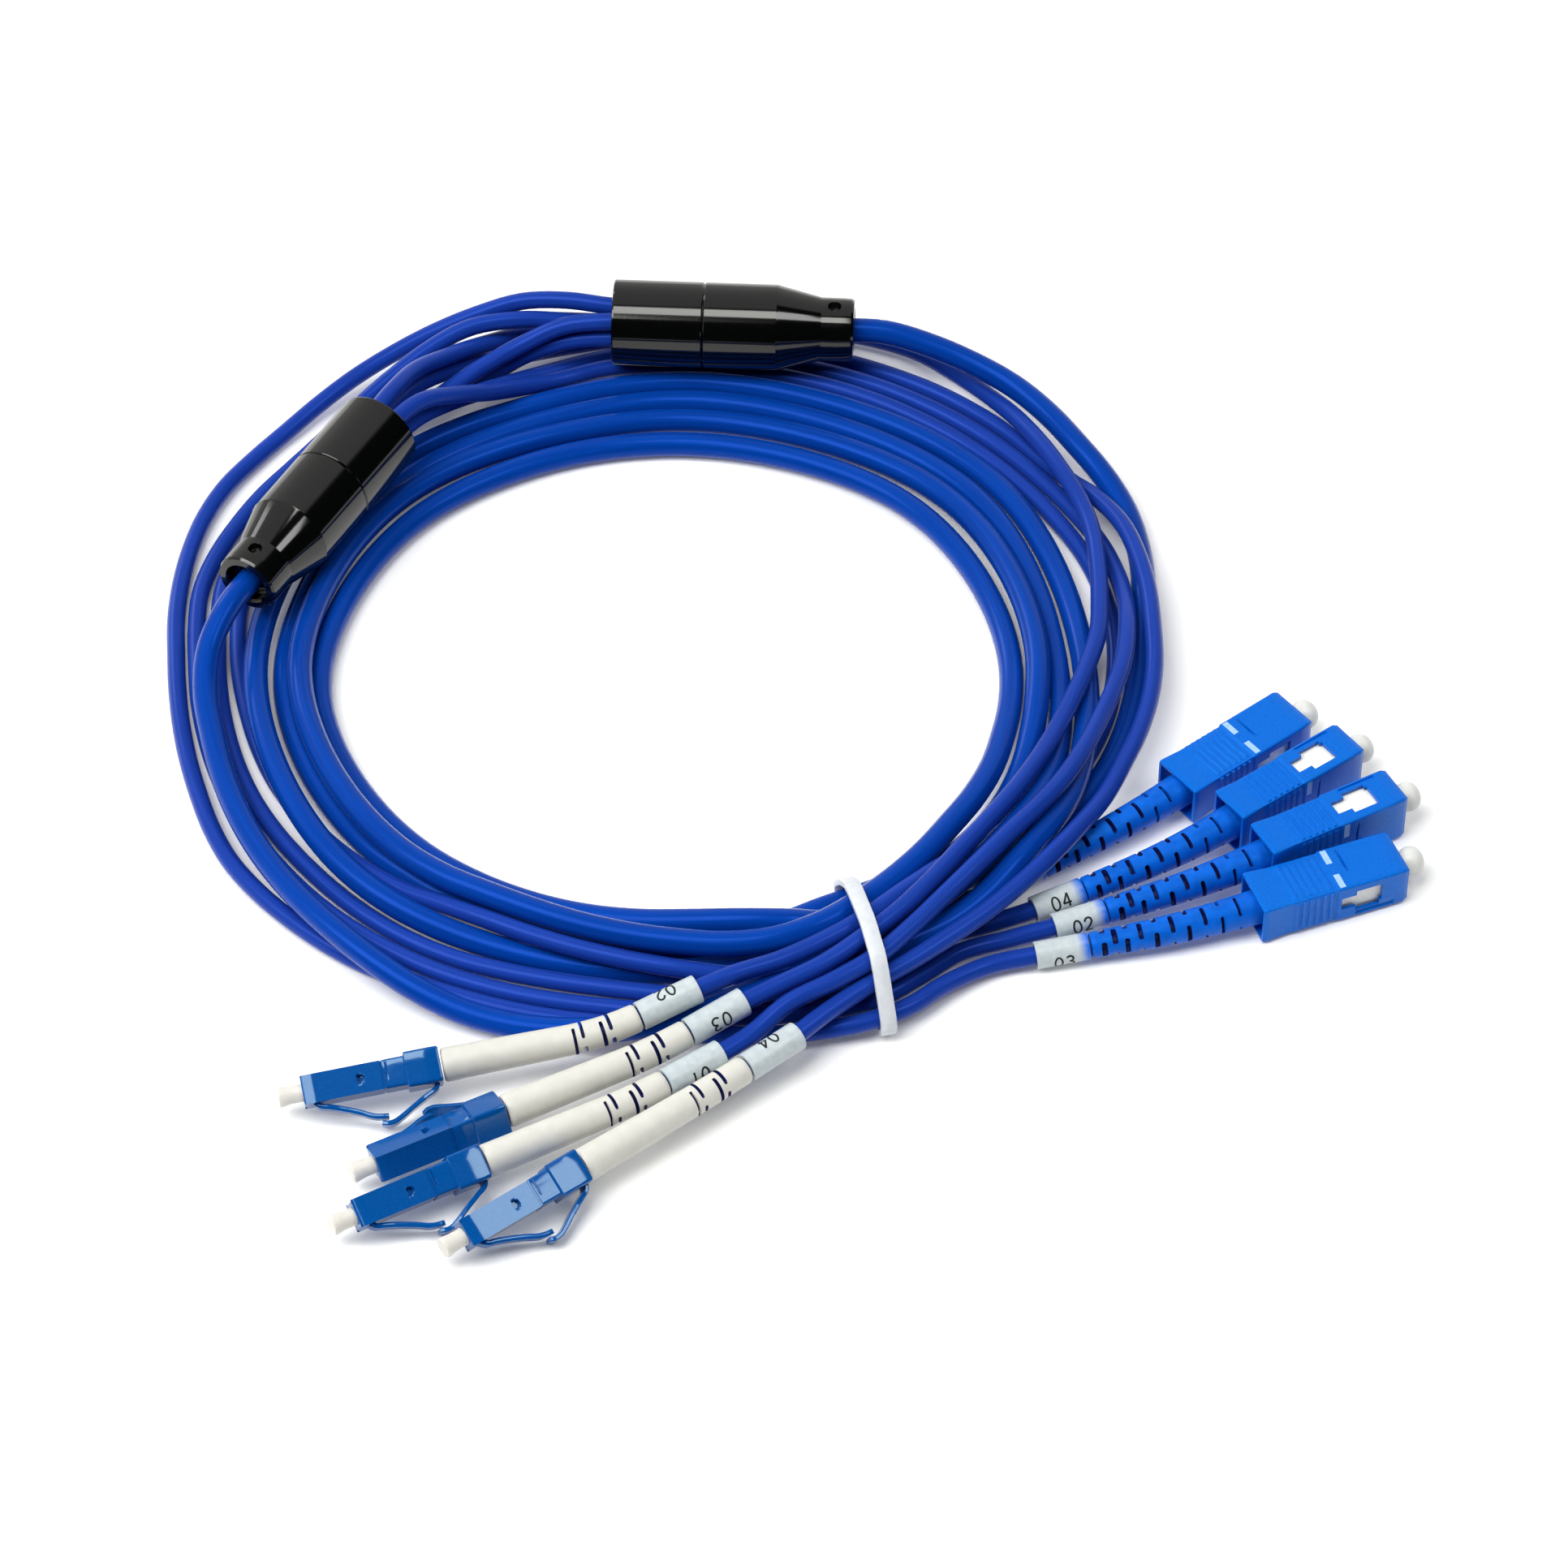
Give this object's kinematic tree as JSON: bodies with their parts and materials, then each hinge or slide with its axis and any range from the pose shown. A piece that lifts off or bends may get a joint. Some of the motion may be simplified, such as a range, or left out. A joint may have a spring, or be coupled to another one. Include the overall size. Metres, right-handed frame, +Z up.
{
  "type": "fibre breakout cable",
  "caption": "Optical fibre breakout cable: a trunk coiled between two black breakout housings, with capped SC and LC tails, held by a nylon tie.",
  "frame": {"origin": "middle of the bounding box at floor level, under the coil", "axes": "+Z up from the floor the coil lies on; +X towards the SC connectors; +Y away from the LC connectors, towards the first breakout housing"},
  "size_m": [0.2038, 0.208, 0.0206],
  "materials": {
    "azure_rubber": "moulded soft boot, matte",
    "black_anodised": "black anodised, turned, semi-gloss",
    "cap_plastic": "soft translucent polythene",
    "dark_steel": "blackened steel",
    "label_film": "shrunk translucent film, satin",
    "lc_plastic": "moulded, fine satin",
    "nylon": "moulded natural nylon",
    "sc_inner_plastic": "moulded, off-white",
    "sc_plastic": "moulded, fine satin",
    "tail_pvc": "smooth PVC jacket, satin",
    "trunk_pvc": "smooth PVC jacket, satin",
    "white_rubber": "moulded soft boot, matte"
  },
  "bodies": {
    "cable": {"cable_tie": "nylon", "housing_a_cone": "black_anodised", "housing_a_screw": "dark_steel", "housing_a_sleeve": "black_anodised", "housing_b_cone": "black_anodised", "housing_b_screw": "dark_steel", "housing_b_sleeve": "black_anodised", "lc_1_boot": "white_rubber", "lc_1_front_body": "lc_plastic", "lc_1_label": "label_film", "lc_1_rear_body": "lc_plastic", "lc_2_boot": "white_rubber", "lc_2_front_body": "lc_plastic", "lc_2_label": "label_film", "lc_2_rear_body": "lc_plastic", "lc_3_boot": "white_rubber", "lc_3_front_body": "lc_plastic", "lc_3_label": "label_film", "lc_3_rear_body": "lc_plastic", "lc_4_boot": "white_rubber", "lc_4_front_body": "lc_plastic", "lc_4_label": "label_film", "lc_4_rear_body": "lc_plastic", "lc_tail_1": "tail_pvc", "lc_tail_2": "tail_pvc", "lc_tail_3": "tail_pvc", "lc_tail_4": "tail_pvc", "sc_1_body": "sc_inner_plastic", "sc_1_boot": "azure_rubber", "sc_1_label": "label_film", "sc_2_body": "sc_inner_plastic", "sc_2_boot": "azure_rubber", "sc_2_label": "label_film", "sc_3_body": "sc_inner_plastic", "sc_3_boot": "azure_rubber", "sc_3_label": "label_film", "sc_4_body": "sc_inner_plastic", "sc_4_boot": "azure_rubber", "sc_4_label": "label_film", "sc_tail_1": "tail_pvc", "sc_tail_2": "tail_pvc", "sc_tail_3": "tail_pvc", "sc_tail_4": "tail_pvc", "trunk_cable": "trunk_pvc"},
    "sc_1_grip": {"sc_1_grip": "sc_plastic"},
    "sc_1_cap": {"sc_1_cap": "cap_plastic"},
    "sc_4_grip": {"sc_4_grip": "sc_plastic"},
    "sc_4_cap": {"sc_4_cap": "cap_plastic"},
    "sc_2_grip": {"sc_2_grip": "sc_plastic"},
    "sc_2_cap": {"sc_2_cap": "cap_plastic"},
    "sc_3_grip": {"sc_3_grip": "sc_plastic"},
    "sc_3_cap": {"sc_3_cap": "cap_plastic"},
    "lc_1_cap": {"lc_1_cap": "cap_plastic"},
    "lc_2_cap": {"lc_2_cap": "cap_plastic"},
    "lc_3_cap": {"lc_3_cap": "cap_plastic"},
    "lc_4_cap": {"lc_4_cap": "cap_plastic"}
  },
  "joints": [
    {"name": "sc_1_grip_slide", "type": "slide", "parent": "cable", "child": "sc_1_grip", "axis": [-0.7826, -0.6225, 0], "range_m": [0, 0.002]},
    {"name": "sc_1_cap_pull", "type": "slide", "parent": "cable", "child": "sc_1_cap", "axis": [0.7826, 0.6225, 0], "range_m": [0, 0.008]},
    {"name": "sc_4_grip_slide", "type": "slide", "parent": "cable", "child": "sc_4_grip", "axis": [-0.8049, -0.5934, 0], "range_m": [0, 0.002]},
    {"name": "sc_4_cap_pull", "type": "slide", "parent": "cable", "child": "sc_4_cap", "axis": [0.8049, 0.5934, 0], "range_m": [0, 0.008]},
    {"name": "sc_2_grip_slide", "type": "slide", "parent": "cable", "child": "sc_2_grip", "axis": [-0.8788, -0.4772, 0], "range_m": [0, 0.002]},
    {"name": "sc_2_cap_pull", "type": "slide", "parent": "cable", "child": "sc_2_cap", "axis": [0.8788, 0.4772, 0], "range_m": [0, 0.008]},
    {"name": "sc_3_grip_slide", "type": "slide", "parent": "cable", "child": "sc_3_grip", "axis": [-0.9336, -0.3584, 0], "range_m": [0, 0.002]},
    {"name": "sc_3_cap_pull", "type": "slide", "parent": "cable", "child": "sc_3_cap", "axis": [0.9336, 0.3584, 0], "range_m": [0, 0.008]},
    {"name": "lc_1_cap_pull", "type": "slide", "parent": "cable", "child": "lc_1_cap", "axis": [-0.8829, -0.4694, -0.0105], "range_m": [0, 0.006]},
    {"name": "lc_2_cap_pull", "type": "slide", "parent": "cable", "child": "lc_2_cap", "axis": [-0.978, -0.199, -0.0628], "range_m": [0, 0.006]},
    {"name": "lc_3_cap_pull", "type": "slide", "parent": "cable", "child": "lc_3_cap", "axis": [-0.9013, -0.4299, -0.0523], "range_m": [0, 0.006]},
    {"name": "lc_4_cap_pull", "type": "slide", "parent": "cable", "child": "lc_4_cap", "axis": [-0.7986, -0.6018, -0.014], "range_m": [0, 0.006]}
  ]
}
